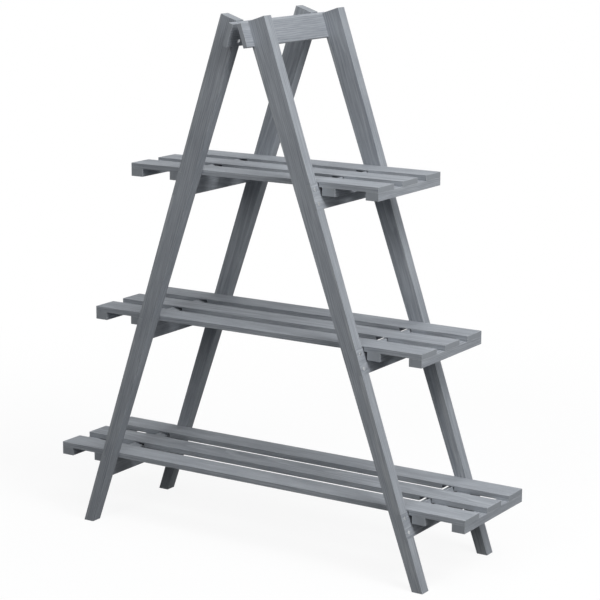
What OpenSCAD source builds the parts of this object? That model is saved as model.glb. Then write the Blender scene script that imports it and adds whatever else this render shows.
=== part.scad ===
// Three-tier plant ladder stand. Two ladders lean together and are hinged along a ridge.
// Three slatted shelves hook over their rungs and hold them open.
// Millimetres. X runs along the shelves, Y from front to rear, Z up from the floor.

/* [Ladders] */
// Height of the leg tops above the floor
stand_h = 1000; // [900:10:1100]
// Lean of each ladder from the vertical, in degrees
lean = 18.5; // [16:0.5:21]
// Thickness of a leg, from front to rear
leg_t = 22.5; // [18:0.5:30]
// Width of a leg at the floor, square to its outer edge
leg_w_foot = 20.5; // [18:0.5:30]
// Width of a leg at its top, square to its outer edge
leg_w_top = 42; // [40:0.5:50]

/* [Rungs] */
// Width of a rung, along the leg
rung_w = 47; // [40:1:60]
// Thickness of a rung
rung_t = 16; // [12:0.5:20]
// Thickness of the tongue at each rung end, let into the leg
lap_t = 8; // [5:0.5:10]
// Distance between the two screws of a rung end
rung_screw_pitch = 26; // [16:1:30]

/* [Ridge] */
// Width of a ridge board, along the leg
ridge_w = 44; // [38:1:60]
// Thickness of a ridge board
ridge_t = 9; // [8:0.5:14]
// Width of leg left behind a ridge board
ridge_seat_w = 35.6; // [30:0.2:38]
// Length of a ridge board beyond the face of each leg
ridge_overhang = 23; // [5:1:40]
// Distance from the leg tops down to the ridge boards
ridge_drop = 1.5; // [0:0.5:4]
// Distance between the two screws of a ridge board end
ridge_screw_pitch = 24; // [14:1:28]
// Length of the ridge board screws
ridge_screw_len = 30; // [20:1:35]

/* [Ridge hinges] */
// Length of a hinge
hinge_len = 50; // [40:1:60]
// Distance of each hinge's middle from the stand's middle
hinge_y = 70; // [40:1:80]
// Distance from the leg tops down to the pins, along the leg
hinge_drop = 3.3; // [3:0.1:6]
// Distance from a ridge board's face to the pin's axis
hinge_offset = 5; // [4.8:0.1:7]
// Height of a leaf, from the pin down
leaf_h = 28; // [22:1:34]
// Thickness of a leaf
leaf_t = 2; // [1.5:0.1:2.5]
// Outer radius of a knuckle
knuckle_r = 3.6; // [3:0.1:4]
// Radius of a pin
pin_r = 1.75; // [1.2:0.05:2]
// Radius of the pin's two closing heads
pin_head_r = 2.8; // [2.3:0.1:3.4]
// Thickness of the pin's two closing heads
pin_head_t = 0.8; // [0.5:0.1:1.5]

/* [Shelves] */
// Height of the bottom shelf's top face
bottom_shelf_h = 142.5; // [120:0.5:170]
// Height from one shelf to the next
shelf_pitch = 285.2; // [250:0.2:300]
// Length of the bottom shelf
bottom_shelf_len = 900; // [820:1:1000]
// Length of the middle shelf
middle_shelf_len = 718.5; // [640:0.5:800]
// Length of the top shelf
top_shelf_len = 537; // [450:1:620]
// Width of a slat
slat_w = 53.4; // [40:0.2:60]
// Gap between two slats
slat_gap = 30.4; // [15:0.2:45]
// Thickness of a slat
slat_t = 10; // [8:0.5:14]
// Height of the rails and battens under the slats
cleat_h = 15; // [12:0.5:24]
// Width of an end rail
rail_w = 26; // [20:1:36]
// Width of a batten
batten_w = 27; // [20:1:36]

/* [Fits] */
// Gap between a shelf's side and a leg
side_play = 0.7; // [0.4:0.1:2]
// Wood left in a slat above its rung notch
notch_skin = 2.5; // [2:0.1:4]
// Gap between a rung's upper corner and the notch above it
seat_gap = 0.2; // [0.1:0.1:0.5]
// Gap between a rung's outer face and the notch's outer wall
notch_play = 1; // [0.5:0.1:2]
// Room behind a rung for it to swing out of its notch
notch_swing = 7; // [6.8:0.1:10]
// Gap between a rung's outer face and the batten that stops it
batten_play = 2.5; // [1:0.1:4]
// Gap all round a screw in its hole
screw_play = 0.1; // [0.05:0.05:0.2]
// Gap all round a hinge pin in its knuckles
pin_play = 0.05; // [0.02:0.01:0.1]
// Gap between neighbouring knuckles
knuckle_gap = 0.3; // [0.2:0.1:0.6]

/* [Screws and edges] */
// Head diameter of the wood screws
screw_head_d = 7; // [6:0.1:8]
// Shank diameter of the wood screws
screw_shank_d = 3.5; // [3:0.1:4]
// Head diameter of the hinge screws
small_head_d = 5.6; // [5:0.1:6]
// Shank diameter of the hinge screws
small_shank_d = 3; // [2.5:0.1:3]
// Wood left beyond the tip of a screw
screw_cover = 3; // [1.5:0.5:4]
// Offset of the slat screws from the middle of a crossing, along the slat
slat_screw_x = 5; // [0:0.5:6]
// Offset of the slat screws from the middle of a crossing, across the slat
slat_screw_y = 15; // [6:1:16]
// Distance of the outer hinge screws from the middle one
hinge_screw_pitch = 17; // [12:1:18]
// Half the height between the upper and lower hinge screws
hinge_screw_stagger = 5; // [0:0.5:6]
// Width of the eased edges of each board
edge_ease = 0.4; // [0.2:0.1:1.5]

/* [Hidden] */

wood = "#8b9095";
steel = "#c6c8ca";
round_fn = 48;
reach = 10;

RIGHT = 1;
LEFT = -1;
FRONT = -1;
MIDDLE = 0;
REAR = 1;

// Each shelf: height of its top face, length.
BOTTOM_SHELF = [bottom_shelf_h, bottom_shelf_len];
MIDDLE_SHELF = [bottom_shelf_h + shelf_pitch, middle_shelf_len];
TOP_SHELF = [bottom_shelf_h + 2 * shelf_pitch, top_shelf_len];
SHELVES = [BOTTOM_SHELF, MIDDLE_SHELF, TOP_SHELF];

// Depth from front to rear: shelves, then the legs' inner and outer faces.
shelf_depth = 3 * slat_w + 2 * slat_gap;
leg_inner_y = shelf_depth / 2 + side_play;
leg_outer_y = leg_inner_y + leg_t;
leg_mid_y = leg_inner_y + leg_t / 2;
ridge_len = 2 * (leg_outer_y + ridge_overhang);

// A leg lies in its own frame: Z along its outer edge from the floor, X away from the stand.
leg_len = stand_h / cos(lean);
leg_taper = (leg_w_top - leg_w_foot) / leg_len;
foot_w = leg_w_foot / (1 - leg_taper * tan(lean));
ridge_top = leg_len - ridge_drop;
ridge_face = ridge_seat_w + ridge_t;

// The pins lie in the stand's middle plane, which fixes where the feet stand.
pin_x = -(ridge_face + hinge_offset);
pin_z = leg_len - hinge_drop;
foot_x = -pin_x * cos(lean) + pin_z * sin(lean);
knuckles = 5;
knuckle_pitch = hinge_len / knuckles;

// Height of a rung's upper outer corner and its place along the leg, under a shelf of a given height.
function rung_corner_h(shelf_h) = shelf_h - notch_skin - seat_gap;
function rung_top(shelf_h) = rung_corner_h(shelf_h) / cos(lean);
function rung_middle(shelf_h) = rung_top(shelf_h) - rung_w / 2;
// Distance of the ladders' outer face from the stand's middle at a height above the floor.
function ladder_face_x(h) = foot_x - h * tan(lean);
// Width of a leg at a distance along its outer edge.
function leg_w(along) = leg_w_foot + leg_taper * along;
// Inner face of a shelf's battens, and the two ends of its slats' notches.
function batten_x(shelf_h) = ladder_face_x(shelf_h - slat_t - cleat_h) + batten_play;
function notch_end_x(shelf_h) = ladder_face_x(shelf_h - slat_t) + notch_play;
function notch_start_x(shelf_h) =
    ladder_face_x(rung_corner_h(shelf_h)) - rung_t * cos(lean) - notch_swing;
// Inner faces and widths of the two cross pieces on one side of a shelf: batten, rail.
function cleats(shelf) = [[batten_x(shelf[0]), batten_w], [shelf[1] / 2 - rail_w, rail_w]];

// Screw lengths that leave cover beyond the tip.
rung_screw_len = leg_w(rung_middle(bottom_shelf_h) - rung_screw_pitch / 2) - screw_cover;
slat_screw_len = cleat_h + slat_t - screw_cover;
hinge_screw_len = leaf_t + ridge_t - screw_cover;

// ---- Shared shapes ----

module eased_rect(w, h) {
    e = edge_ease;
    polygon([[e, 0], [w - e, 0], [w, e], [w, h - e], [w - e, h], [e, h], [0, h - e], [0, e]]);
}

// Board with all twelve edges eased, one corner at the origin.
module eased_board(size) {
    intersection() {
        linear_extrude(size.z) eased_rect(size.x, size.y);
        translate([0, size.y, 0]) rotate([90, 0, 0]) linear_extrude(size.y) eased_rect(size.x, size.z);
        rotate([90, 0, 90]) linear_extrude(size.x) eased_rect(size.y, size.z);
    }
}

// Countersunk body of revolution, head face at z = 0, pointing down. play swells it into its hole.
module screw_form(len, head_d, shank_d, play = 0) {
    head = head_d / 2 + play;
    shank = shank_d / 2 + play;
    rise = play > 0 ? reach : 0;
    rotate_extrude($fn = round_fn)
        polygon([
            [0, rise], [head, rise], [head, 0], [shank, shank - head],
            [shank, shank_d - len], [0, -len - play],
        ]);
}

module screw(len, head_d, shank_d) {
    slot = head_d / 7;
    difference() {
        screw_form(len, head_d, shank_d);
        for (turn = [0, 90])
            rotate(turn) cube([head_d / 2, slot, slot * 2], center = true);
    }
}

module on_side(side) {
    if (side == LEFT) mirror([1, 0, 0]) children();
    else children();
}

module in_leg_frame() {
    translate([foot_x, 0, 0]) rotate([0, -lean, 0]) children();
}

// ---- Screw places, in the leg frame ----

module at_rung_screws(shelf_h) {
    for (end = [FRONT, REAR], row = [-1, 1])
        translate([0, end * leg_mid_y, rung_middle(shelf_h) + row * rung_screw_pitch / 2])
            rotate([0, 90, 0]) children();
}

module at_ridge_screws() {
    for (end = [FRONT, REAR], row = [-1, 1])
        translate([-ridge_face, end * leg_mid_y, ridge_top - ridge_w / 2 + row * ridge_screw_pitch / 2])
            rotate([0, -90, 0]) children();
}

module at_hinge_screws(end) {
    for (place = [-1, 0, 1])
        translate([
            -ridge_face - leaf_t,
            end * hinge_y + place * hinge_screw_pitch,
            pin_z - (knuckle_r + leaf_h) / 2 + (abs(place) * 2 - 1) * hinge_screw_stagger,
        ])
            rotate([0, -90, 0]) children();
}

// ---- Ladders ----

// Section of a leg with the edges eased on one narrow face, the other left wide.
module leg_edge_section() {
    e = edge_ease;
    wide = leg_w_top * 2;
    polygon([
        [0, e - leg_t / 2], [-e, -leg_t / 2], [-wide, -leg_t / 2],
        [-wide, leg_t / 2], [-e, leg_t / 2], [0, leg_t / 2 - e],
    ]);
}

module leg_blank() {
    intersection() {
        translate([0, leg_t / 2, 0]) rotate([90, 0, 0]) linear_extrude(leg_t)
            polygon([
                [0, 0], [0, leg_len], [-leg_w_top, leg_len], [-foot_w, foot_w * tan(lean)],
            ]);
        linear_extrude(leg_len) leg_edge_section();
        translate([-leg_w_foot, 0, 0]) rotate([0, -atan(leg_taper), 0]) mirror([1, 0, 0])
            translate([0, 0, -reach]) linear_extrude(leg_len + 2 * reach) leg_edge_section();
    }
}

module leg(side, end) {
    color(wood) on_side(side) in_leg_frame() difference() {
        translate([0, end * leg_mid_y, 0]) leg_blank();
        for (shelf = SHELVES)
            translate([-lap_t, end * leg_mid_y - leg_t, rung_top(shelf[0]) - rung_w])
                cube([lap_t + reach, leg_t * 2, rung_w]);
        translate([-ridge_seat_w - leg_w_top, end * leg_mid_y - leg_t, ridge_top - ridge_w])
            cube([leg_w_top, leg_t * 2, ridge_w + reach]);
        for (shelf = SHELVES)
            at_rung_screws(shelf[0])
                screw_form(rung_screw_len, screw_head_d, screw_shank_d, screw_play);
        at_ridge_screws()
            screw_form(ridge_screw_len, screw_head_d, screw_shank_d, screw_play);
    }
}

// A rung's full width lies in the legs' outer edges. Its inner half stops between the legs.
module rung(side, shelf) {
    color(wood) on_side(side) in_leg_frame() difference() {
        translate([-rung_t, -leg_outer_y, rung_top(shelf[0]) - rung_w])
            eased_board([rung_t, 2 * leg_outer_y, rung_w]);
        for (end = [FRONT, REAR])
            translate([-rung_t - lap_t, end * (leg_inner_y + leg_t) - leg_t, rung_top(shelf[0]) - rung_w * 1.5])
                cube([rung_t, leg_t * 2, rung_w * 2]);
        at_rung_screws(shelf[0])
            screw_form(rung_screw_len, screw_head_d, screw_shank_d, screw_play);
    }
}

module ridge_board(side) {
    color(wood) on_side(side) in_leg_frame() difference() {
        translate([-ridge_face, -ridge_len / 2, ridge_top - ridge_w])
            eased_board([ridge_t, ridge_len, ridge_w]);
        at_ridge_screws()
            screw_form(ridge_screw_len, screw_head_d, screw_shank_d, screw_play);
        for (end = [FRONT, REAR])
            at_hinge_screws(end)
                screw_form(hinge_screw_len, small_head_d, small_shank_d, screw_play);
    }
}

module rung_screws(side) {
    color(steel) on_side(side) in_leg_frame() for (shelf = SHELVES)
        at_rung_screws(shelf[0])
            screw(rung_screw_len, screw_head_d, screw_shank_d);
}

module ridge_screws(side) {
    color(steel) on_side(side) in_leg_frame() at_ridge_screws()
        screw(ridge_screw_len, screw_head_d, screw_shank_d);
}

// ---- Ridge hinges ----

// Leaf on the inner face of a ridge board. first picks which of the five knuckles are its own.
module hinge_leaf(side, end, first) {
    other = 1 - first;
    start = end * hinge_y - hinge_len / 2;
    color(steel) on_side(side) in_leg_frame() difference() {
        union() {
            translate([-ridge_face - leaf_t, start, pin_z - leaf_h])
                cube([leaf_t, hinge_len, leaf_h]);
            for (i = [first : 2 : knuckles - 1])
                translate([pin_x, start + i * knuckle_pitch + knuckle_gap / 2, pin_z]) {
                    rotate([-90, 0, 0])
                        cylinder(r = knuckle_r, h = knuckle_pitch - knuckle_gap, $fn = round_fn);
                    translate([0, 0, -knuckle_r])
                        cube([hinge_offset, knuckle_pitch - knuckle_gap, leaf_t]);
                }
        }
        for (i = [other : 2 : knuckles - 1])
            translate([pin_x, start + i * knuckle_pitch - knuckle_gap / 2, pin_z - knuckle_r - knuckle_gap])
                cube([hinge_offset + reach, knuckle_pitch + knuckle_gap, leaf_h]);
        translate([pin_x, start - reach, pin_z]) rotate([-90, 0, 0])
            cylinder(r = pin_r + pin_play, h = hinge_len + 2 * reach, $fn = round_fn);
        at_hinge_screws(end)
            screw_form(hinge_screw_len, small_head_d, small_shank_d, screw_play);
    }
}

module hinge_pin(end) {
    half = hinge_len / 2 + knuckle_gap / 2;
    color(steel) in_leg_frame() translate([pin_x, end * hinge_y, pin_z]) rotate([-90, 0, 0])
        rotate_extrude($fn = round_fn)
            polygon([
                [0, -half - pin_head_t], [pin_head_r, -half - pin_head_t], [pin_head_r, -half],
                [pin_r, -half], [pin_r, half],
                [pin_head_r, half], [pin_head_r, half + pin_head_t], [0, half + pin_head_t],
            ]);
}

module hinge_screws(side) {
    color(steel) on_side(side) in_leg_frame() for (end = [FRONT, REAR])
        at_hinge_screws(end)
            screw(hinge_screw_len, small_head_d, small_shank_d);
}

// ---- Shelves ----

// Screws rise from below through both cross pieces of both sides into one row of slats.
module at_slat_screws(shelf, row) {
    for (side = [LEFT, RIGHT], cleat = cleats(shelf), turn = [-1, 1])
        translate([
            side * (cleat[0] + cleat[1] / 2) + turn * slat_screw_x,
            row * (slat_w + slat_gap) + turn * slat_screw_y,
            shelf[0] - slat_t - cleat_h,
        ])
            rotate([180, 0, 0]) children();
}

module slat(shelf, row) {
    color(wood) difference() {
        translate([-shelf[1] / 2, row * (slat_w + slat_gap) - slat_w / 2, shelf[0] - slat_t])
            eased_board([shelf[1], slat_w, slat_t]);
        for (side = [LEFT, RIGHT])
            on_side(side)
                translate([
                    notch_start_x(shelf[0]),
                    row * (slat_w + slat_gap) - slat_w,
                    shelf[0] - notch_skin - slat_t,
                ])
                    cube([notch_end_x(shelf[0]) - notch_start_x(shelf[0]), 2 * slat_w, slat_t]);
        at_slat_screws(shelf, row)
            screw_form(slat_screw_len, screw_head_d, screw_shank_d, screw_play);
    }
}

// Cross piece under the slats, from its inner face outwards.
module cleat(shelf, side, place) {
    color(wood) difference() {
        on_side(side)
            translate([place[0], -shelf_depth / 2, shelf[0] - slat_t - cleat_h])
                eased_board([place[1], shelf_depth, cleat_h]);
        for (row = [FRONT, MIDDLE, REAR])
            at_slat_screws(shelf, row)
                screw_form(slat_screw_len, screw_head_d, screw_shank_d, screw_play);
    }
}

module batten(shelf, side) {
    cleat(shelf, side, cleats(shelf)[0]);
}

module rail(shelf, side) {
    cleat(shelf, side, cleats(shelf)[1]);
}

module shelf_screws(shelf) {
    color(steel) for (row = [FRONT, MIDDLE, REAR])
        at_slat_screws(shelf, row)
            screw(slat_screw_len, screw_head_d, screw_shank_d);
}

// ---- The stand ----

leg(RIGHT, FRONT);  // right_front_leg
leg(RIGHT, REAR);  // right_rear_leg
ridge_board(RIGHT);  // right_ridge_board
rung(RIGHT, TOP_SHELF);  // right_top_rung
rung(RIGHT, MIDDLE_SHELF);  // right_middle_rung
rung(RIGHT, BOTTOM_SHELF);  // right_bottom_rung
rung_screws(RIGHT);  // right_rung_screws
ridge_screws(RIGHT);  // right_ridge_screws
leg(LEFT, FRONT);  // left_front_leg
leg(LEFT, REAR);  // left_rear_leg
ridge_board(LEFT);  // left_ridge_board
rung(LEFT, TOP_SHELF);  // left_top_rung
rung(LEFT, MIDDLE_SHELF);  // left_middle_rung
rung(LEFT, BOTTOM_SHELF);  // left_bottom_rung
rung_screws(LEFT);  // left_rung_screws
ridge_screws(LEFT);  // left_ridge_screws
hinge_leaf(RIGHT, FRONT, 0);  // front_hinge_right_leaf
hinge_leaf(LEFT, FRONT, 1);  // front_hinge_left_leaf
hinge_pin(FRONT);  // front_hinge_pin
hinge_leaf(RIGHT, REAR, 0);  // rear_hinge_right_leaf
hinge_leaf(LEFT, REAR, 1);  // rear_hinge_left_leaf
hinge_pin(REAR);  // rear_hinge_pin
hinge_screws(RIGHT);  // right_hinge_screws
hinge_screws(LEFT);  // left_hinge_screws
slat(BOTTOM_SHELF, FRONT);  // bottom_front_slat
slat(BOTTOM_SHELF, MIDDLE);  // bottom_middle_slat
slat(BOTTOM_SHELF, REAR);  // bottom_rear_slat
rail(BOTTOM_SHELF, LEFT);  // bottom_left_rail
rail(BOTTOM_SHELF, RIGHT);  // bottom_right_rail
batten(BOTTOM_SHELF, LEFT);  // bottom_left_batten
batten(BOTTOM_SHELF, RIGHT);  // bottom_right_batten
shelf_screws(BOTTOM_SHELF);  // bottom_shelf_screws
slat(MIDDLE_SHELF, FRONT);  // middle_front_slat
slat(MIDDLE_SHELF, MIDDLE);  // middle_middle_slat
slat(MIDDLE_SHELF, REAR);  // middle_rear_slat
rail(MIDDLE_SHELF, LEFT);  // middle_left_rail
rail(MIDDLE_SHELF, RIGHT);  // middle_right_rail
batten(MIDDLE_SHELF, LEFT);  // middle_left_batten
batten(MIDDLE_SHELF, RIGHT);  // middle_right_batten
shelf_screws(MIDDLE_SHELF);  // middle_shelf_screws
slat(TOP_SHELF, FRONT);  // top_front_slat
slat(TOP_SHELF, MIDDLE);  // top_middle_slat
slat(TOP_SHELF, REAR);  // top_rear_slat
rail(TOP_SHELF, LEFT);  // top_left_rail
rail(TOP_SHELF, RIGHT);  // top_right_rail
batten(TOP_SHELF, LEFT);  // top_left_batten
batten(TOP_SHELF, RIGHT);  // top_right_batten
shelf_screws(TOP_SHELF);  // top_shelf_screws
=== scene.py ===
"""Plant ladder stand of grey-washed fir, dressed over its CAD frame.

The boards and hinge leaves keep their CAD solids and get softened arrises and a
finish. The screws and hinge pins are modelled here and stand for their CAD nodes.
Sizes of the stand's own classes are millimetres, in the CAD model's frame: X runs
along the shelves, Y from front to rear, Z up from the floor. The studio's are metres.
"""

import logging
import math
import random
from dataclasses import dataclass, field
from enum import Enum
from typing import Iterator, Sequence

import bmesh
import bpy
from mathutils import Matrix, Vector


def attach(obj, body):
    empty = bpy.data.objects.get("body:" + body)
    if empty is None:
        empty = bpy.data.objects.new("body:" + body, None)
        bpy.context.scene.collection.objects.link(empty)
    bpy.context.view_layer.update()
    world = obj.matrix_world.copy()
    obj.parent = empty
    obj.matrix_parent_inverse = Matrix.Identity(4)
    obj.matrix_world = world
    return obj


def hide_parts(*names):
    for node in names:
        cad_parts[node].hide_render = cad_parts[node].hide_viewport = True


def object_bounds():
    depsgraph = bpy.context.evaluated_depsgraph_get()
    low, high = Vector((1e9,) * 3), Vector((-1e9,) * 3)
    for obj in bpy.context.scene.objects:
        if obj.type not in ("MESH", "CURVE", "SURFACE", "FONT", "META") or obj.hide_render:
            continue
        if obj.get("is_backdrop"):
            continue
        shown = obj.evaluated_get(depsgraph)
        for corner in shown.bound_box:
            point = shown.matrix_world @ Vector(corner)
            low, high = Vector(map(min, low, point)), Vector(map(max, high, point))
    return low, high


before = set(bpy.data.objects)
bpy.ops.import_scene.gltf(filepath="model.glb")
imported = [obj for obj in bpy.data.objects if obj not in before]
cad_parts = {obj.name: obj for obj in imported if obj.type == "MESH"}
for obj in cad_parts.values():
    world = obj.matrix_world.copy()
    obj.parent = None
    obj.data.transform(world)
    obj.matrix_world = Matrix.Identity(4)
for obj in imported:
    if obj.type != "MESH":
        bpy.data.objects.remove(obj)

CAD_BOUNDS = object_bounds()
LOG = logging.getLogger("plant_ladder_stand")
MM = 0.001

# Points closer than this are one point.
WELD_MM = 0.001
# An edge that turns by less than this, in degrees, is shaded as part of a round.
SMOOTH_ANGLE = 32.0
# An edge that turns by more than this, in degrees, gets a soft arris of a few facets.
ARRIS_ANGLE = 34.0
ARRIS_FACETS = 2
# A wave texture turns by this many radians for each unit along it.
WAVE_RADIANS = 20.0

Colour = tuple[float, float, float, float]


# ---- Named choices ----


class Worded(Enum):
    """A choice that the CAD nodes spell out in their names."""

    @property
    def word(self) -> str:
        """Find the choice's name as the CAD nodes spell it.

        Returns:
            The name in lower case.
        """
        return self.name.lower()


class Side(Worded):
    """A ladder's side of the ridge, as the sign of its X."""

    LEFT = -1
    RIGHT = 1


class End(Worded):
    """Front or rear of the stand, as the sign of its Y."""

    FRONT = -1
    REAR = 1


class Row(Worded):
    """A slat's row on its shelf, as a multiple of the slats' pitch."""

    FRONT = -1
    MIDDLE = 0
    REAR = 1


class Cut(Enum):
    """How a board was sawn from its log: the pith's bearing from the face, in degrees."""

    FLAT = 78.0
    RIFT = 42.0
    QUARTER = 14.0


# ---- Colour and nodes ----


def linear(code: str) -> Colour:
    """Turn an sRGB hex colour into the linear colour that a shader wants.

    The sRGB curve is straight below 0.04045 and a power of 2.4 above it.

    Args:
        code: Colour as "#rrggbb".

    Returns:
        Linear red, green, blue and an alpha of 1.
    """
    parts = [int(code[i : i + 2], 16) / 255 for i in (1, 3, 5)]
    red, green, blue = (
        c / 12.92 if c <= 0.04045 else ((c + 0.055) / 1.055) ** 2.4 for c in parts
    )
    return red, green, blue, 1.0


def add_node(
    tree: bpy.types.NodeTree, kind: str, settings: dict[str, object] | None = None,
    **inputs: object,
) -> bpy.types.Node:
    """Add one node to a tree, with its settings, values and incoming links.

    Args:
        tree: Node tree that gets the node.
        kind: Blender's name of the node type, without "ShaderNode".
        settings: The node's own properties.
        **inputs: A value or an output socket for each input. An input is named in
            lower case with underscores, or by its number as "i0".

    Returns:
        The new node.
    """
    node = tree.nodes.new("ShaderNode" + kind)
    for name, value in (settings or {}).items():
        setattr(node, name, value)
    by_name = {
        socket.name.lower().replace(" ", "_"): socket
        for socket in reversed(node.inputs) if socket.enabled
    }
    for name, value in inputs.items():
        numbered = name[0] == "i" and name[1:].isdigit()
        socket = node.inputs[int(name[1:])] if numbered else by_name[name]
        if isinstance(value, bpy.types.NodeSocket):
            tree.links.new(value, socket)
        else:
            socket.default_value = value
    return node


def new_material(name: str) -> tuple[bpy.types.Material, bpy.types.NodeTree]:
    """Make a material with an empty node tree.

    Args:
        name: Name of the material.

    Returns:
        The material and its node tree.
    """
    material = bpy.data.materials.new(name)
    material.use_nodes = True
    material.node_tree.nodes.clear()
    return material, material.node_tree


def set_ramp(node: bpy.types.Node, stops: Sequence[tuple[float, Colour]]) -> None:
    """Give a colour ramp its stops.

    Args:
        node: The colour ramp node.
        stops: Position and linear colour of each stop, in order.
    """
    ramp = node.color_ramp
    while len(ramp.elements) < len(stops):
        ramp.elements.new(1.0)
    for element, (position, colour) in zip(ramp.elements, stops):
        element.position = position
        element.color = colour


# ---- Boards ----


@dataclass(frozen=True)
class Board:
    """One straight piece of timber, as its grain sees it.

    The grain frame has X along the fibres, Y across the board's face and Z through it.
    The taper is half the board's gain in Z size for each unit along X. A positive tone
    colours a board paler than the others; the shelves' rails get one as painted light.
    """

    node: str
    along: Vector
    across: Vector
    cut: Cut
    taper: float = 0.0
    tone: float = 0.0

    def turn(self) -> Matrix:
        """Find how the board lies in the stand.

        Returns:
            Rotation from the grain frame to the stand's frame.
        """
        return Matrix((self.along, self.across, self.along.cross(self.across))).transposed()

    def measure(self) -> tuple[Vector, Vector]:
        """Find the board's middle and half size from its CAD solid.

        Returns:
            Middle in the stand's frame and half size in the grain frame, in metres.
        """
        turn = self.turn()
        back = turn.transposed()
        points = [back @ vertex.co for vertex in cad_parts[self.node].data.vertices]
        low = Vector([min(p[i] for p in points) for i in range(3)])
        high = Vector([max(p[i] for p in points) for i in range(3)])
        return turn @ ((low + high) / 2), (high - low) / 2


@dataclass(frozen=True)
class Noise:
    """A noise drawn out along the fibres, and how much of it goes into the tone."""

    width_mm: float
    stretch: float
    octaves: float
    weight: float
    mean: float = 0.5


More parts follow.
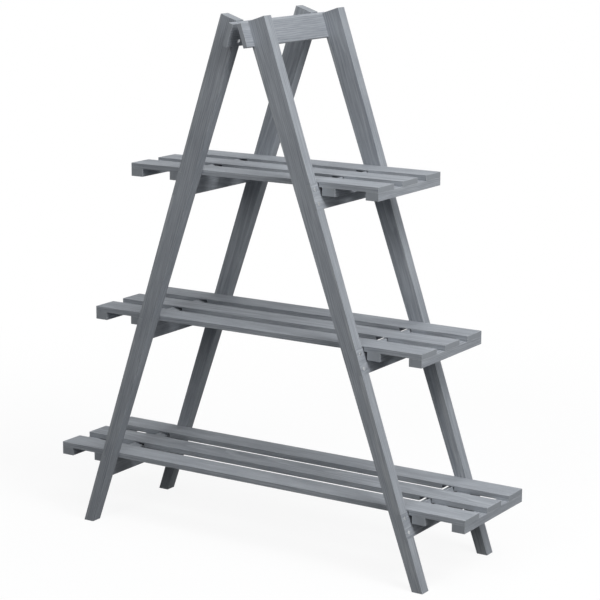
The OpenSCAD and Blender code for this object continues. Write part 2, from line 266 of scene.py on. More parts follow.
@dataclass(frozen=True)
class WashedFir:
    """Finish of the boards: fir, sawn, planed and brushed with a grey water stain.

    To the eye that is a dull blue-grey wood with a straight, quiet grain. The stain
    sinks into the soft early wood and leaves the hard late wood a little paler, the
    end grain takes a tone of its own, and it is rubbed thin along the arrises.
    """

    deep: str = "#7b8087"
    body: str = "#9a9fa6"
    pale: str = "#b6bbc1"
    bare_arris: str = "#bcbfc0"
    end_grain: str = "#9ba0a6"
    tone_spread: float = 0.07

    # Rings of a fast grown fir, about 3 mm a year. They are not quite round.
    ring_mm: float = 2.8
    ring_wander_mm: float = 7.0
    ring_sway_mm: float = 45.0
    ring_sway_stretch: float = 0.12
    ring_sway_octaves: float = 2.0
    ring_weight: float = 0.24
    ring_mean: float = 0.3
    # Share of late wood through one year: it rises slowly, then drops at the winter.
    ring_profile: tuple[tuple[float, float], ...] = (
        (0.0, 0.0), (0.45, 0.12), (0.82, 0.9), (0.93, 1.0), (1.0, 0.0),
    )
    # Groups of years that grew alike, and patches about as wide as the stain brush.
    band: Noise = Noise(14.0, 18.0, 1.0, 0.3)
    blotch: Noise = Noise(36.0, 2.6, 2.0, 0.5)
    # Real fibres are some 0.04 mm wide, their bundles under 1 mm, and the specks of stain
    # caught between them 0.2 mm. All three are drawn as coarse as it takes to be seen.
    streak: Noise = Noise(3.8, 40.0, 2.0, 0.43)
    fibre: Noise = Noise(1.8, 28.0, 3.0, 0.95)
    pore: Noise = Noise(0.8, 16.0, 1.0, -0.18, 0.0)
    pore_edge: tuple[float, float] = (0.62, 0.72)

    # Where the board lay in its log: pith's distance in mm, angles in degrees.
    bearing_spread: float = 9.0
    pith_mm: tuple[float, float] = (55.0, 110.0)
    log_half_length: float = 3.0
    runout_face: float = 1.4
    runout_edge: float = 1.0

    # Sanding takes the stain off some 1.3 mm beside an arris, mostly on the raised fibres.
    arris_mm: float = 1.3
    end_mm: float = 0.9
    wear_edge: tuple[float, float] = (0.4, 0.62)
    wear: float = 0.4

    # Water stain raises the grain by about 0.1 mm and leaves it matt.
    relief_mm: float = 0.1
    relief_strength: float = 0.7
    relief_ring: float = 0.25
    relief_fibre: float = 0.6
    relief_pore: float = -0.3
    roughness: float = 0.66
    rough_fibre: float = 0.2
    rough_ring: float = -0.1
    rough_end: float = 0.12
    ior: float = 1.5
    specular: float = 0.3

    def material(self, board: Board) -> bpy.types.Material:
        """Make the finish for one board, with its own stretch of the log.

        Args:
            board: The board that the grain runs through.

        Returns:
            The board's material.
        """
        material, tree = new_material("washed_fir_" + board.node)
        draw = random.Random(board.node)
        middle, half = board.measure()
        local = add_node(
            tree, "Mapping", {"vector_type": "TEXTURE"},
            vector=add_node(tree, "TexCoord").outputs["Object"],
            location=middle, rotation=board.turn().to_euler(),
        ).outputs["Vector"]
        log = self.place_in_log(tree, local, board.cut, draw)
        ring = self.rings(tree, log)
        patterns = {
            noise: self.drawn_noise(tree, log, noise)
            for noise in (self.band, self.streak, self.fibre, self.blotch, self.pore)
        }
        patterns[self.pore] = self.ranged(tree, patterns[self.pore], self.pore_edge, 1.0)
        fibre, pore = patterns[self.fibre], patterns[self.pore]
        ends, arris = self.edge_masks(tree, local, half, board.taper)
        terms = [(ring, self.ring_weight, self.ring_mean)]
        terms += [(pattern, noise.weight, noise.mean) for noise, pattern in patterns.items()]
        # Each board's random stain tone, plus on the shelves' rails a paler tone of painted light.
        own_tone = board.tone + draw.uniform(-self.tone_spread, self.tone_spread)
        tone = self.weighted(tree, 0.5 + own_tone, terms)
        colour = self.stained(tree, tone, ends, arris, fibre)
        roughness = self.weighted(
            tree, self.roughness,
            [(fibre, self.rough_fibre, self.fibre.mean), (ring, self.rough_ring, self.ring_mean),
             (ends, self.rough_end, 0.0)],
        )
        relief = self.weighted(
            tree, 0.5,
            [(ring, self.relief_ring, self.ring_mean), (fibre, self.relief_fibre, self.fibre.mean),
             (pore, self.relief_pore, self.pore.mean)],
        )
        bump = add_node(
            tree, "Bump", height=relief, strength=self.relief_strength,
            distance=self.relief_mm * MM,
        ).outputs[0]
        shader = add_node(
            tree, "BsdfPrincipled", base_color=colour, roughness=roughness, normal=bump,
            ior=self.ior, specular_ior_level=self.specular,
        )
        add_node(tree, "OutputMaterial", surface=shader.outputs[0])
        return material

    def place_in_log(
        self, tree: bpy.types.NodeTree, local: bpy.types.NodeSocket, cut: Cut,
        draw: random.Random,
    ) -> bpy.types.NodeSocket:
        """Choose where in its log the board was sawn.

        Args:
            tree: The material's tree.
            local: Place in the grain frame from the board's middle, in metres.
            cut: How the board was sawn.
            draw: The board's own random draws.

        Returns:
            Place in the log, pith along X, in metres.
        """
        bearing = math.radians(cut.value + draw.uniform(-self.bearing_spread, self.bearing_spread))
        pith = draw.uniform(*self.pith_mm) * MM * draw.choice((-1, 1))
        along = draw.uniform(-self.log_half_length, self.log_half_length)
        runout = [
            math.radians(draw.uniform(-most, most)) for most in (self.runout_face, self.runout_edge)
        ]
        return add_node(
            tree, "Mapping", vector=local,
            location=(along, math.cos(bearing) * pith, math.sin(bearing) * pith),
            rotation=(0.0, *runout),
        ).outputs["Vector"]

    def stained(
        self, tree: bpy.types.NodeTree, tone: bpy.types.NodeSocket, ends: bpy.types.NodeSocket,
        arris: bpy.types.NodeSocket, fibre: bpy.types.NodeSocket,
    ) -> bpy.types.NodeSocket:
        """Colour the wood, its cut ends and its worn arrises.

        Args:
            tree: The material's tree.
            tone: Tone of the stain, 0 dark to 1 pale.
            ends: Mask of the cut ends.
            arris: Mask of the arrises.
            fibre: The fibres, which wear where they stand proud.

        Returns:
            The colour.
        """
        ramp = add_node(tree, "ValToRGB", fac=tone)
        shades = ((0.0, self.deep), (0.5, self.body), (1.0, self.pale))
        set_ramp(ramp, [(at, linear(code)) for at, code in shades])
        worn = add_node(
            tree, "Math", {"operation": "MULTIPLY"}, i0=arris,
            i1=self.ranged(tree, fibre, self.wear_edge, self.wear),
        ).outputs[0]
        with_ends = add_node(
            tree, "Mix", {"data_type": "RGBA"},
            i0=ends, i6=ramp.outputs[0], i7=linear(self.end_grain),
        ).outputs[2]
        return add_node(
            tree, "Mix", {"data_type": "RGBA"}, i0=worn, i6=with_ends, i7=linear(self.bare_arris),
        ).outputs[2]

    def ranged(
        self, tree: bpy.types.NodeTree, pattern: bpy.types.NodeSocket,
        edge: tuple[float, float], most: float,
    ) -> bpy.types.NodeSocket:
        """Cut a pattern off below one value and fill it up to another.

        Args:
            tree: The material's tree.
            pattern: The pattern.
            edge: Values where the result starts and where it is full.
            most: The result where it is full.

        Returns:
            The pattern from 0 to most.
        """
        return add_node(
            tree, "MapRange", value=pattern, from_min=edge[0], from_max=edge[1], to_max=most,
        ).outputs[0]

    def rings(self, tree: bpy.types.NodeTree, log: bpy.types.NodeSocket) -> bpy.types.NodeSocket:
        """Draw the year rings round the pith.

        Args:
            tree: The material's tree.
            log: Place in the log, pith along X, in metres.

        Returns:
            Share of late wood, 0 to 1.
        """
        drawn = add_node(tree, "Mapping", vector=log, scale=(self.ring_sway_stretch, 1, 1))
        sway = add_node(
            tree, "TexNoise", vector=drawn.outputs[0], scale=1 / (self.ring_sway_mm * MM),
            detail=self.ring_sway_octaves,
        ).outputs["Color"]
        centred = add_node(
            tree, "VectorMath", {"operation": "SUBTRACT"}, i0=sway, i1=(0.5, 0.5, 0.5),
        ).outputs[0]
        # Centred, the noise reaches 0.5 to either side, so twice the wander is its full swing.
        bent = add_node(
            tree, "VectorMath", {"operation": "MULTIPLY_ADD"},
            i0=centred, i1=(2 * self.ring_wander_mm * MM,) * 3, i2=log,
        ).outputs[0]
        # The wave's scale gives one ring each ring_mm.
        wave = add_node(
            tree, "TexWave",
            {"wave_type": "RINGS", "rings_direction": "X", "wave_profile": "SAW"},
            vector=bent, scale=math.tau / (WAVE_RADIANS * self.ring_mm * MM), distortion=0.0,
        ).outputs["Fac"]
        ramp = add_node(tree, "ValToRGB", fac=wave)
        set_ramp(ramp, [(at, (grey, grey, grey, 1.0)) for at, grey in self.ring_profile])
        return ramp.outputs[0]

    def drawn_noise(
        self, tree: bpy.types.NodeTree, log: bpy.types.NodeSocket, noise: Noise,
    ) -> bpy.types.NodeSocket:
        """Draw noise out along the fibres.

        Args:
            tree: The material's tree.
            log: Place in the log, in metres.
            noise: Width, stretch and octaves of the noise.

        Returns:
            The noise, about 0.5.
        """
        drawn = add_node(tree, "Mapping", vector=log, scale=(1 / noise.stretch, 1, 1)).outputs[0]
        return add_node(
            tree, "TexNoise", vector=drawn, scale=1 / (noise.width_mm * MM), detail=noise.octaves,
        ).outputs["Fac"]

    def weighted(
        self, tree: bpy.types.NodeTree, base: float,
        terms: Sequence[tuple[bpy.types.NodeSocket, float, float]],
    ) -> bpy.types.NodeSocket:
        """Sum several patterns about a base value.

        Args:
            tree: The material's tree.
            base: Value where every pattern is at its mean.
            terms: Each pattern, its weight and its mean.

        Returns:
            The sum.
        """
        total: object = base - sum(weight * mean for _, weight, mean in terms)
        for pattern, weight, _ in terms:
            total = add_node(
                tree, "Math", {"operation": "MULTIPLY_ADD"}, i0=pattern, i1=weight, i2=total,
            ).outputs[0]
        return total

    def edge_masks(
        self, tree: bpy.types.NodeTree, local: bpy.types.NodeSocket, half: Vector, taper: float,
    ) -> tuple[bpy.types.NodeSocket, bpy.types.NodeSocket]:
        """Find the cut ends and the arrises of a board from its own size.

        Args:
            tree: The material's tree.
            local: Place in the grain frame from the board's middle, in metres.
            half: Half size of the board in the grain frame, in metres.
            taper: Half the board's gain in Z size for each unit along X.

        Returns:
            Mask of the cut ends and mask of the arrises.
        """
        axes = add_node(tree, "SeparateXYZ", vector=local).outputs
        gain = add_node(tree, "Math", {"operation": "MULTIPLY"}, i0=axes[0], i1=taper).outputs[0]
        sheared = add_node(tree, "Math", {"operation": "ADD"}, i0=axes[2], i1=gain).outputs[0]
        full = add_node(
            tree, "Math", {"operation": "ADD"}, i0=gain, i1=half.z - abs(taper) * half.x,
        ).outputs[0]
        depths = []
        for place, size in ((axes[0], half.x), (axes[1], half.y), (sheared, full)):
            off = add_node(tree, "Math", {"operation": "ABSOLUTE"}, i0=place).outputs[0]
            depths.append(
                add_node(tree, "Math", {"operation": "SUBTRACT"}, i0=size, i1=off).outputs[0]
            )
        # The second smallest of the three depths is the distance to the nearest arris.
        low, high = (
            add_node(tree, "Math", {"operation": way}, i0=depths[0], i1=depths[1]).outputs[0]
            for way in ("MINIMUM", "MAXIMUM")
        )
        inner = add_node(tree, "Math", {"operation": "MINIMUM"}, i0=high, i1=depths[2]).outputs[0]
        second = add_node(tree, "Math", {"operation": "MAXIMUM"}, i0=low, i1=inner).outputs[0]
        ends, arris = (
            add_node(
                tree, "MapRange", {"interpolation_type": "SMOOTHSTEP"},
                value=depth, from_min=0.0, from_max=reach * MM, to_min=1.0, to_max=0.0,
            ).outputs[0]
            for depth, reach in ((depths[0], self.end_mm), (second, self.arris_mm))
        )
        return ends, arris


@dataclass(frozen=True)
class ZincPlate:
    """Finish of screws and hinges: steel, cold formed, then bright zinc plated.

    To the eye that is a cool, light grey metal with a soft gleam, faintly clouded
    where the plating passed through its bath, with fine lines left by the tooling.
    """

    name: str
    bright: str = "#e2e4e5"
    clouded: str = "#cbced0"
    cloud_mm: float = 9.0
    cloud_octaves: float = 3.0
    cloud_edge: tuple[float, float] = (0.35, 0.6)
    # Real tool marks are under 0.1 mm apart. They are drawn five times coarser to show.
    line_mm: float = 0.5
    line_stretch: float = 25.0
    line_octaves: float = 2.0
    roughness: float = 0.34
    rough_edge: tuple[float, float] = (0.3, 0.7)
    rough_clouded: float = 0.1
    rough_bright: float = -0.06
    relief_mm: float = 0.01
    relief_strength: float = 0.5

    def material(self) -> bpy.types.Material:
        """Make the finish.

        Returns:
            The material.
        """
        material, tree = new_material(self.name)
        place = add_node(tree, "TexCoord").outputs["Object"]
        cloud = add_node(
            tree, "TexNoise", vector=place, scale=1 / (self.cloud_mm * MM),
            detail=self.cloud_octaves,
        ).outputs["Fac"]
        drawn = add_node(
            tree, "Mapping", vector=place, scale=(1, 1 / self.line_stretch, 1),
        ).outputs[0]
        lines = add_node(
            tree, "TexNoise", vector=drawn, scale=1 / (self.line_mm * MM),
            detail=self.line_octaves,
        ).outputs["Fac"]
        ramp = add_node(tree, "ValToRGB", fac=cloud)
        shades = [linear(self.clouded), linear(self.bright)]
        set_ramp(ramp, list(zip(self.cloud_edge, shades)))
        roughness = add_node(
            tree, "MapRange", value=cloud, from_min=self.rough_edge[0],
            from_max=self.rough_edge[1], to_min=self.roughness + self.rough_clouded,
            to_max=self.roughness + self.rough_bright,
        ).outputs[0]
        bump = add_node(
            tree, "Bump", height=lines, strength=self.relief_strength,
            distance=self.relief_mm * MM,
        ).outputs[0]
        shader = add_node(
            tree, "BsdfPrincipled", base_color=ramp.outputs[0], metallic=1.0,
            roughness=roughness, normal=bump,
        )
        add_node(tree, "OutputMaterial", surface=shader.outputs[0])
        return material


# ---- Turned and pressed metal ----


def add_piece(
    bm: bmesh.types.BMesh, name: str, body: str, node: str,
    material: bpy.types.Material,
) -> bpy.types.Object:
    """Make a finished bmesh a piece of the stand that stands for a CAD node.

    Args:
        bm: The geometry in metres, in the stand's frame. It is freed here.
        name: Name of the piece.
        body: CAD body that it rides on.
        node: CAD node that it stands for.
        material: Its finish.

    Returns:
        The new object.
    """
    bmesh.ops.recalc_face_normals(bm, faces=bm.faces)
    for face in bm.faces:
        face.smooth = True
    for edge in bm.edges:
        edge.smooth = edge.is_manifold and edge.calc_face_angle() < math.radians(SMOOTH_ANGLE)
    mesh = bpy.data.meshes.new(name)
    bm.to_mesh(mesh)
    bm.free()
    mesh.materials.append(material)
    piece = bpy.data.objects.new(name, mesh)
    bpy.context.scene.collection.objects.link(piece)
    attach(piece, body)
    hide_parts(node)
    LOG.info("%s: %d faces, rides on %s", name, len(mesh.polygons), body)
    return piece


def spin_profile(
    bm: bmesh.types.BMesh, profile: Sequence[tuple[float, float]], steps: int,
) -> list[bmesh.types.BMEdge]:
    """Turn a profile round Z into a surface of revolution.

    Args:
        bm: Mesh that gets the surface.
        profile: Radius and height of each point, in millimetres.
        steps: Number of sides of the full turn.

    Returns:
        The open edges round the profile's first point, empty if it lies on the axis.
    """
    points = [bm.verts.new((radius * MM, 0.0, height * MM)) for radius, height in profile]
    chain = [bm.edges.new(pair) for pair in zip(points, points[1:])]
    bmesh.ops.spin(
        bm, geom=points + chain, cent=(0, 0, 0), axis=(0, 0, 1), angle=math.tau,
        steps=steps, use_merge=True, use_normal_flip=False, use_duplicate=False,
    )
    bmesh.ops.remove_doubles(bm, verts=bm.verts, dist=WELD_MM * MM)
    bm.verts.ensure_lookup_table()
    return [edge for edge in bm.edges if edge.is_boundary]


@dataclass
class CountersunkScrew:
    """A wood screw with a 90 degree countersunk head and a cross recess.

    Its head face is at Z 0 and its point at the bottom.
    """

    length: float
    head_d: float
    shank_d: float
    rim_edge: float = 0.15
    # The recess is given as shares of the head's diameter, its floor as a share of its mouth.
    recess_reach: float = 0.22
    recess_width: float = 0.055
    recess_depth: float = 0.13
    recess_taper: float = 0.5
    sides: int = 20

    def mesh(self) -> bpy.types.Mesh:
        """Model the screw.

        Returns:
            Its mesh, in metres.
        """
        bm = bmesh.new()
        head, shank = self.head_d / 2, self.shank_d / 2
        rim = spin_profile(
            bm,
            [(head - self.rim_edge, 0.0), (head, -self.rim_edge), (shank, shank - head),
             (shank, self.shank_d - self.length), (0.0, -self.length)],
            self.sides,
        )
        cross = self.recess(bm)
        bmesh.ops.bridge_loops(bm, edges=rim + cross)
        mesh = bpy.data.meshes.new("countersunk_screw")
        bm.to_mesh(mesh)
        bm.free()
        return mesh

    def recess(self, bm: bmesh.types.BMesh) -> list[bmesh.types.BMEdge]:
        """Sink the tapering cross recess for the driver.

        Args:
            bm: The screw's mesh.

        Returns:
            The recess's outline in the head face.
        """
        reach, width = self.head_d * self.recess_reach * MM, self.head_d * self.recess_width * MM
        arm = [(reach, -width), (reach, width), (width, width)]
        corners = []
        for quarter in range(4):
            turn = Matrix.Rotation(quarter * math.pi / 2, 3, "Z")
            corners += [bm.verts.new(turn @ Vector((x, y, 0.0))) for x, y in arm]
        outline = [bm.edges.new(pair) for pair in zip(corners, corners[1:] + corners[:1])]
        walls = bmesh.ops.extrude_edge_only(bm, edges=outline)["geom"]
        floor = [item for item in walls if isinstance(item, bmesh.types.BMVert)]
        bmesh.ops.scale(bm, verts=floor, vec=(self.recess_taper, self.recess_taper, 1.0))
        bmesh.ops.translate(bm, verts=floor, vec=(0, 0, -self.head_d * self.recess_depth * MM))
        edges = [item for item in walls if isinstance(item, bmesh.types.BMEdge)]
        bmesh.ops.contextual_create(bm, geom=[edge for edge in edges if edge.is_boundary])
        return outline


def set_screws(screw: CountersunkScrew, places: Iterator[Matrix]) -> bmesh.types.BMesh:
    """Put copies of one screw at several places.

    Args:
        screw: The screw.
        places: Where each copy's head face goes, in metres.

    Returns:
        One mesh with all the copies.
    """
    template = screw.mesh()
    bm = bmesh.new()
    for place in places:
        before = len(bm.verts)
        bm.from_mesh(template)
        bm.verts.ensure_lookup_table()
        bmesh.ops.transform(bm, matrix=place, verts=bm.verts[before:])
    bpy.data.meshes.remove(template)
    return bm


def dress_solid(node: str, material: bpy.types.Material, arris_mm: float) -> None:
    """Give a CAD solid its finish and soften its arrises.

    Args:
        node: The CAD node.
        material: Its finish.
        arris_mm: Width of the rounding on each sharp edge.
    """
    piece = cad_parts[node]
    piece.data.materials.clear()
    piece.data.materials.append(material)
    weld = piece.modifiers.new("weld", "WELD")
    weld.merge_threshold = WELD_MM * MM
    bevel = piece.modifiers.new("soft_arris", "BEVEL")
    bevel.limit_method = "ANGLE"
    bevel.angle_limit = math.radians(ARRIS_ANGLE)
    bevel.width = arris_mm * MM
    bevel.segments = ARRIS_FACETS
    LOG.info("%s: finished with %s", node, material.name)


# ---- Sub-assemblies ----


@dataclass(frozen=True)
class Tier:
    """One level: its shelf's top and length, and the inner face of the shelf's battens."""

    name: str
    height: float
    length: float
    batten_x: float


TIERS = (
    Tier("bottom", 142.5, 900.0, 343.77),
    Tier("middle", 427.7, 718.5, 248.344),
    Tier("top", 712.9, 537.0, 152.917),
)


@dataclass
class Ladder:
    """One leaning ladder: two tapered legs, three rungs let into them, a ridge board."""

    side: Side
    wood: WashedFir
    steel: bpy.types.Material
    lean: float = 18.5
    stand_h: float = 1000.0
    foot_x: float = 380.585
    leg_mid_y: float = 122.45
    leg_w_foot: float = 20.5
    leg_w_top: float = 42.0
    rung_corner_drop: float = 2.7
    rung_w: float = 47.0
    rung_screw_pitch: float = 26.0
    ridge_drop: float = 1.5
    ridge_w: float = 44.0
    ridge_face: float = 44.6
    ridge_screw_pitch: float = 24.0
    leaf_t: float = 2.0
    hinge_y: float = 70.0
    hinge_screw_drop: float = 19.1
    hinge_screw_pitch: float = 17.0
    hinge_screw_stagger: float = 5.0
    soft_arris: float = 0.15
    rung_screw: CountersunkScrew = field(default_factory=lambda: CountersunkScrew(19.76, 7.0, 3.5))
    ridge_screw: CountersunkScrew = field(default_factory=lambda: CountersunkScrew(30.0, 7.0, 3.5))
    hinge_screw: CountersunkScrew = field(default_factory=lambda: CountersunkScrew(8.0, 5.6, 3.0))

    @property
    def body(self) -> str:
        """Find the CAD body that the ladder's pieces ride on.

        Returns:
            Name of the body.
        """
        return self.side.word + "_ladder"

    @property
    def leg_len(self) -> float:
        """Find how long a leg is along its outer edge.

        Returns:
            The length, in millimetres.
        """
        return self.stand_h / math.cos(math.radians(self.lean))

    def up_leg(self) -> Vector:
        """Find the direction of the legs' outer edges.

        Returns:
            Unit vector, upwards.
        """
        lean = math.radians(self.lean)
        return Vector((-self.side.value * math.sin(lean), 0.0, math.cos(lean)))

    def leg_frame(self) -> Matrix:
        """Find the leg frame: Z up the outer edge from the floor, X outwards.

        Returns:
            Its place in the stand's frame.
        """
        mirror = Matrix.Diagonal((self.side.value, 1, 1, 1))
        foot = Matrix.Translation((self.foot_x * MM, 0, 0))
        return mirror @ foot @ Matrix.Rotation(-math.radians(self.lean), 4, "Y")

    def screw_place(self, x: float, y: float, z: float, quarter: int) -> Matrix:
        """Place a screw head in the leg frame.

        Args:
            x: Distance outwards, in millimetres.
            y: Distance to the rear, in millimetres.
            z: Distance up the leg, in millimetres.
            quarter: 1 if the head faces outwards, -1 if it faces inwards.

        Returns:
            The head face's place in the stand's frame.
        """
        seat = Matrix.Translation(Vector((x, y, z)) * MM)
        return self.leg_frame() @ seat @ Matrix.Rotation(quarter * math.pi / 2, 4, "Y")

    def rung_screw_places(self) -> Iterator[Matrix]:
        """Find the two screws of each rung end, in the legs' outer edges.

        Returns:
            Each head face's place, one after the other.
        """
        for tier in TIERS:
            top = (tier.height - self.rung_corner_drop) / math.cos(math.radians(self.lean))
            for end in End:
                for row in (-1, 1):
                    along = top - self.rung_w / 2 + row * self.rung_screw_pitch / 2
                    yield self.screw_place(0.0, end.value * self.leg_mid_y, along, 1)

    def ridge_screw_places(self) -> Iterator[Matrix]:
        """Find the two screws of each ridge board end.

        Returns:
            Each head face's place, one after the other.
        """
        middle = self.leg_len - self.ridge_drop - self.ridge_w / 2
        for end in End:
            for row in (-1, 1):
                along = middle + row * self.ridge_screw_pitch / 2
                yield self.screw_place(-self.ridge_face, end.value * self.leg_mid_y, along, -1)

    def hinge_screw_places(self) -> Iterator[Matrix]:
        """Find the three screws of each hinge leaf.

        Returns:
            Each head face's place, one after the other.
        """
        middle = self.leg_len - self.hinge_screw_drop
        for end in End:
            for place in (-1, 0, 1):
                along = middle + (abs(place) * 2 - 1) * self.hinge_screw_stagger
                across = end.value * self.hinge_y + place * self.hinge_screw_pitch
                yield self.screw_place(-self.ridge_face - self.leaf_t, across, along, -1)

    def boards(self) -> Iterator[Board]:
        """List the ladder's boards with the run of their grain.

        Returns:
            Each board, one after the other.
        """
        rear = Vector((0, 1, 0))
        taper = (self.leg_w_top - self.leg_w_foot) / self.leg_len / 2
        word = self.side.word
        for end, cut in ((End.FRONT, Cut.RIFT), (End.REAR, Cut.QUARTER)):
            yield Board(f"{word}_{end.word}_leg", self.up_leg(), rear, cut, taper)
        for tier in reversed(TIERS):
            yield Board(f"{word}_{tier.name}_rung", rear, self.up_leg(), Cut.FLAT)
        yield Board(f"{word}_ridge_board", rear, self.up_leg(), Cut.RIFT)

    def build(self) -> None:
        """Dress the boards and set the ladder's screws."""
        for board in self.boards():
            dress_solid(board.node, self.wood.material(board), self.soft_arris)
        word = self.side.word
        for kind, screw, places in (
            ("rung", self.rung_screw, self.rung_screw_places()),
            ("ridge", self.ridge_screw, self.ridge_screw_places()),
            ("hinge", self.hinge_screw, self.hinge_screw_places()),
        ):
            add_piece(
                set_screws(screw, places), f"{word}_{kind}_screw_set", self.body,
                f"{word}_{kind}_screws", self.steel,
            )


@dataclass
class RidgeHinge:
    """One butt hinge under the ridge: two leaves and the pin through their knuckles."""

    end: End
    steel: bpy.types.Material
    ladder: Ladder
    leaf_arris: float = 0.2
    hinge_len: float = 50.0
    pin_x: float = -49.6
    pin_drop: float = 3.3
    pin_r: float = 1.75
    head_r: float = 2.8
    head_t: float = 0.8
    head_gap: float = 0.15
    dome_rise: float = 0.65
    dome_steps: int = 5
    sides: int = 28

    def build(self) -> None:
        """Dress the leaves and turn the pin."""
        for side in Side:
            dress_solid(f"{self.end.word}_hinge_{side.word}_leaf", self.steel, self.leaf_arris)
        bm = bmesh.new()
        spin_profile(bm, self.pin_profile(), self.sides)
        seat = Vector((
            self.pin_x, self.end.value * self.ladder.hinge_y, self.ladder.leg_len - self.pin_drop,
        ))
        lie = Matrix.Rotation(-math.pi / 2, 4, "X")
        bmesh.ops.transform(
            bm, matrix=self.ladder.leg_frame() @ Matrix.Translation(seat * MM) @ lie,
            verts=bm.verts,
        )
        add_piece(
            bm, f"{self.end.word}_hinge_peened_pin", self.ladder.body,
            f"{self.end.word}_hinge_pin", self.steel,
        )

    def pin_profile(self) -> list[tuple[float, float]]:
        """Draw half the pin's section, with a peened dome at each end.

        Returns:
            Radius and height of each point, in millimetres.
        """
        half = self.hinge_len / 2 + self.head_gap
        rim, rise = (1 - self.dome_rise) * self.head_t, self.dome_rise * self.head_t
        turns = [step * math.pi / 2 / self.dome_steps for step in range(self.dome_steps + 1)]
        dome = [(self.head_r * math.cos(a), half + rim + rise * math.sin(a)) for a in turns]
        top = [(self.pin_r, half), (self.head_r, half), *dome[:-1], (0.0, half + self.head_t)]
        return [(radius, -height) for radius, height in reversed(top)] + top


@dataclass
class Shelf:
    """One lift-off shelf: three slats screwed down on two rails and two battens.

    The rails at its ends are coloured paler than the other boards, as painted light
    that stands in for the light falling on their outer faces.
    """

    tier: Tier
    wood: WashedFir
    steel: bpy.types.Material
    batten_w: float = 27.0
    rail_w: float = 26.0
    slat_pitch: float = 83.8
    slat_t: float = 10.0
    cleat_h: float = 15.0
    screw_x: float = 5.0
    screw_y: float = 15.0
    # Paler colour of the end rails: painted light on their outer faces.
    rail_tone: float = 0.12
    soft_arris: float = 0.15
    screw: CountersunkScrew = field(default_factory=lambda: CountersunkScrew(22.0, 7.0, 3.5))

    def screw_places(self) -> Iterator[Matrix]:
        """Find the two screws of each crossing, driven up from below.

        Returns:
            Each head face's place, one after the other.
        """
        under = self.tier.height - self.slat_t - self.cleat_h
        middles = (
            self.tier.batten_x + self.batten_w / 2, (self.tier.length - self.rail_w) / 2,
        )
        for row in Row:
            for side in Side:
                for middle in middles:
                    for turn in (-1, 1):
                        seat = Vector((
                            side.value * middle + turn * self.screw_x,
                            row.value * self.slat_pitch + turn * self.screw_y, under,
                        ))
                        yield Matrix.Translation(seat * MM) @ Matrix.Rotation(math.pi, 4, "X")

    def boards(self) -> Iterator[Board]:
        """List the shelf's boards with the run of their grain.

        Returns:
            Each board, one after the other.
        """
        right, rear = Vector((1, 0, 0)), Vector((0, 1, 0))
        name = self.tier.name
        for row, cut in zip(Row, (Cut.RIFT, Cut.FLAT, Cut.QUARTER)):
            yield Board(f"{name}_{row.word}_slat", right, rear, cut)
        for side in Side:
            yield Board(f"{name}_{side.word}_rail", rear, -right, Cut.FLAT, tone=self.rail_tone)
            yield Board(f"{name}_{side.word}_batten", rear, -right, Cut.RIFT)

    def build(self) -> None:
        """Dress the boards and set the shelf's screws."""
        for board in self.boards():
            dress_solid(board.node, self.wood.material(board), self.soft_arris)
        name = self.tier.name
        add_piece(
            set_screws(self.screw, self.screw_places()), f"{name}_shelf_screw_set",
            f"{name}_shelf", f"{name}_shelf_screws", self.steel,
        )


# ---- Studio ----


def outward(azimuth: float, elevation: float) -> Vector:
    """Find the direction of a view or a lamp, from the stand outwards.

    Args:
        azimuth: Angle from the front towards the right, in degrees.
        elevation: Angle up from the floor, in degrees.

    Returns:
        Unit vector.
    """
    az, el = math.radians(azimuth), math.radians(elevation)
    return Vector((math.sin(az) * math.cos(el), -math.cos(az) * math.cos(el), math.sin(el)))


@dataclass(frozen=True)
class Lamp:
    """A square softbox that looks at a point of the stand.

    Angles are in degrees, distance and size in metres and power in watts. A lamp
    without glint is kept out of reflections. The low fills at the rear and the left have
    none, so that the shelves' tops don't mirror them at a grazing angle.
    """

    name: str
    azimuth: float
    elevation: float
    distance: float
    size: float
    power: float
    glint: bool = True

    def build(self, aim: Vector) -> None:
        """Hang the lamp.

        Args:
            aim: Point that it looks at, in metres.
        """
        light = bpy.data.lights.new(self.name, "AREA")
        light.shape = "SQUARE"
        light.size = self.size
        light.energy = self.power
        lamp = bpy.data.objects.new(self.name, light)
        bpy.context.scene.collection.objects.link(lamp)
        back = outward(self.azimuth, self.elevation)
        lamp.location = aim + back * self.distance
        lamp.rotation_euler = back.to_track_quat("Z", "Y").to_euler()
        lamp.visible_glossy = self.glint


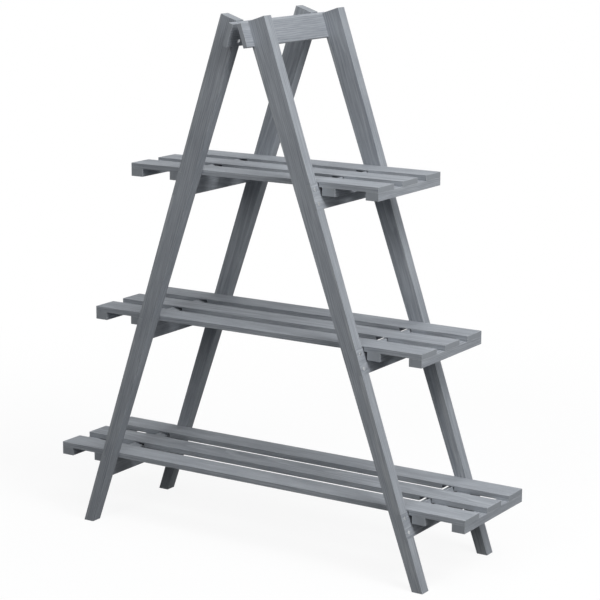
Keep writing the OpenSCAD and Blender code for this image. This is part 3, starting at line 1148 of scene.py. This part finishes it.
@dataclass
class Studio:
    """Plain pale floor, white surround, softboxes and the camera.

    Angles are in degrees, lens and sensor in millimetres and other lengths in metres,
    apart from those that say mm.
    """

    azimuth: float = 32.83
    elevation: float = 12.231
    distance: float = 3.7546
    roll: float = 0.119
    aim: tuple[float, float, float] = (0.03595, 0.0003, 0.4663)
    lens: float = 121.107
    sensor: float = 36.0
    clip_end: float = 60.0
    lamp_aim: tuple[float, float, float] = (0.0, 0.0, 0.5)
    floor_r: float = 9.0
    floor_sides: int = 96
    floor_fade: tuple[float, float] = (0.75, 1.9)
    floor_glow: float = 0.9
    floor_pale: str = "#f4f5f6"
    floor_bounce: str = "#484a4c"
    # Paint stipple is about 1 mm wide. It is drawn coarser, so that it shows at all.
    floor_grit_mm: float = 14.0
    floor_grit_octaves: float = 4.0
    floor_relief_mm: float = 0.2
    floor_relief_strength: float = 0.1
    world_tint: str = "#ffffff"
    world_strength: float = 0.02
    lamps: tuple[Lamp, ...] = (
        Lamp("upper_key", 60.0, 50.0, 4.5, 1.8, 68.0),
        Lamp("side_key", 82.0, 37.0, 4.5, 1.7, 65.0),
        Lamp("low_side", 75.0, 10.0, 4.5, 1.8, 24.0),
        Lamp("front_fill", 4.0, 28.0, 4.5, 1.8, 45.0),
        Lamp("top_softbox", 20.0, 86.0, 4.5, 3.2, 39.0),
        Lamp("rear_rim", 150.0, 60.0, 4.5, 2.0, 19.0),
        Lamp("rear_fill", 176.0, 9.0, 4.5, 1.6, 67.0, glint=False),
        Lamp("left_fill", 262.0, 8.0, 4.5, 1.6, 44.0, glint=False),
    )

    def build(self) -> None:
        """Set up everything round the stand."""
        self.build_camera()
        self.build_world()
        self.build_floor()
        for lamp in self.lamps:
            lamp.build(Vector(self.lamp_aim))
        bpy.context.scene.view_settings.view_transform = "Standard"

    def build_camera(self) -> None:
        """Put the camera where the photograph was taken from."""
        back = outward(self.azimuth, self.elevation)
        right = outward(self.azimuth + 90.0, 0.0)
        level = Matrix((right, back.cross(right), back)).transposed()
        turn = level @ Matrix.Rotation(math.radians(self.roll), 3, "Z")
        data = bpy.data.cameras.new("camera")
        data.lens, data.sensor_width = self.lens, self.sensor
        data.sensor_fit = "HORIZONTAL"
        data.clip_end = self.clip_end
        camera = bpy.data.objects.new("camera", data)
        camera.matrix_world = Matrix.LocRotScale(
            Vector(self.aim) + back * self.distance, turn.to_quaternion(), None
        )
        bpy.context.scene.collection.objects.link(camera)
        bpy.context.scene.camera = camera

    def seen(self, tree: bpy.types.NodeTree) -> bpy.types.NodeSocket:
        """Tell the rays that see the background from those that light the stand.

        Args:
            tree: Tree that gets the nodes.

        Returns:
            1 for camera, glossy and transmission rays, otherwise 0.
        """
        path = add_node(tree, "LightPath").outputs
        seen = path["Is Camera Ray"]
        for name in ("Is Glossy Ray", "Is Transmission Ray"):
            seen = add_node(
                tree, "Math", {"operation": "MAXIMUM"}, i0=seen, i1=path[name],
            ).outputs[0]
        return seen

    def build_world(self) -> None:
        """Make a dim surround that the camera and reflections see as white."""
        world = bpy.data.worlds.new("white_surround")
        world.use_nodes = True
        tree = world.node_tree
        tree.nodes.clear()
        strength = add_node(
            tree, "MapRange", value=self.seen(tree), to_min=self.world_strength, to_max=1.0,
        ).outputs[0]
        ground = add_node(tree, "Background", color=linear(self.world_tint), strength=strength)
        add_node(tree, "OutputWorld", surface=ground.outputs[0])
        bpy.context.scene.world = world

    def build_floor(self) -> None:
        """Lay a floor of matt pale paint that keeps the stand's shadow and fades into white.

        It sends little light back up, so that the undersides stay dark.
        """
        material, tree = new_material("matt_painted_floor")
        place = add_node(tree, "TexCoord").outputs["Object"]
        grit = add_node(
            tree, "TexNoise", vector=place, scale=1 / (self.floor_grit_mm * MM),
            detail=self.floor_grit_octaves,
        ).outputs["Fac"]
        reach = add_node(tree, "VectorMath", {"operation": "LENGTH"}, i0=place).outputs["Value"]
        away = add_node(
            tree, "MapRange", {"interpolation_type": "SMOOTHSTEP"}, value=reach,
            from_min=self.floor_fade[0], from_max=self.floor_fade[1],
            to_min=self.floor_glow, to_max=1.0,
        ).outputs[0]
        seen = self.seen(tree)
        glow_share = add_node(tree, "Math", {"operation": "MULTIPLY"}, i0=seen, i1=away).outputs[0]
        paint = add_node(
            tree, "Mix", {"data_type": "RGBA"},
            i0=seen, i6=linear(self.floor_bounce), i7=linear(self.floor_pale),
        ).outputs[2]
        bump = add_node(
            tree, "Bump", height=grit, strength=self.floor_relief_strength,
            distance=self.floor_relief_mm * MM,
        ).outputs[0]
        matt = add_node(tree, "BsdfDiffuse", color=paint, roughness=1.0, normal=bump).outputs[0]
        glow = add_node(tree, "Emission", color=(1, 1, 1, 1), strength=1.0).outputs[0]
        surface = add_node(tree, "MixShader", i0=glow_share, i1=matt, i2=glow).outputs[0]
        add_node(tree, "OutputMaterial", surface=surface)
        bm = bmesh.new()
        bmesh.ops.create_circle(bm, cap_ends=True, segments=self.floor_sides, radius=self.floor_r)
        mesh = bpy.data.meshes.new("floor")
        bm.to_mesh(mesh)
        bm.free()
        mesh.materials.append(material)
        floor = bpy.data.objects.new("floor", mesh)
        bpy.context.scene.collection.objects.link(floor)
        floor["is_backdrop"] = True


def write_sizes() -> None:
    """Gather the CAD model's box and the dressed model's box, in metres."""
    boxes = {"cad": CAD_BOUNDS, "visual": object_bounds()}
    plain = {name: [list(low), list(high)] for name, (low, high) in boxes.items()}


def main() -> None:
    """Dress the stand piece by piece and set up the studio."""
    logging.basicConfig(level=logging.INFO, format="%(name)s: %(message)s")
    wood = WashedFir()
    screw_steel = ZincPlate("zinc_plated_screw_steel", roughness=0.45).material()
    hinge_steel = ZincPlate(
        "zinc_plated_hinge_steel", bright="#d0d3d5", clouded="#babdc0", roughness=0.42,
    ).material()
    Studio().build()
    ladders = {side: Ladder(side, wood, screw_steel) for side in Side}
    for ladder in ladders.values():
        ladder.build()
    for end in End:
        RidgeHinge(end, hinge_steel, ladders[Side.RIGHT]).build()
    for tier in TIERS:
        Shelf(tier, wood, screw_steel).build()
    write_sizes()


if __name__ == "__main__":
    main()
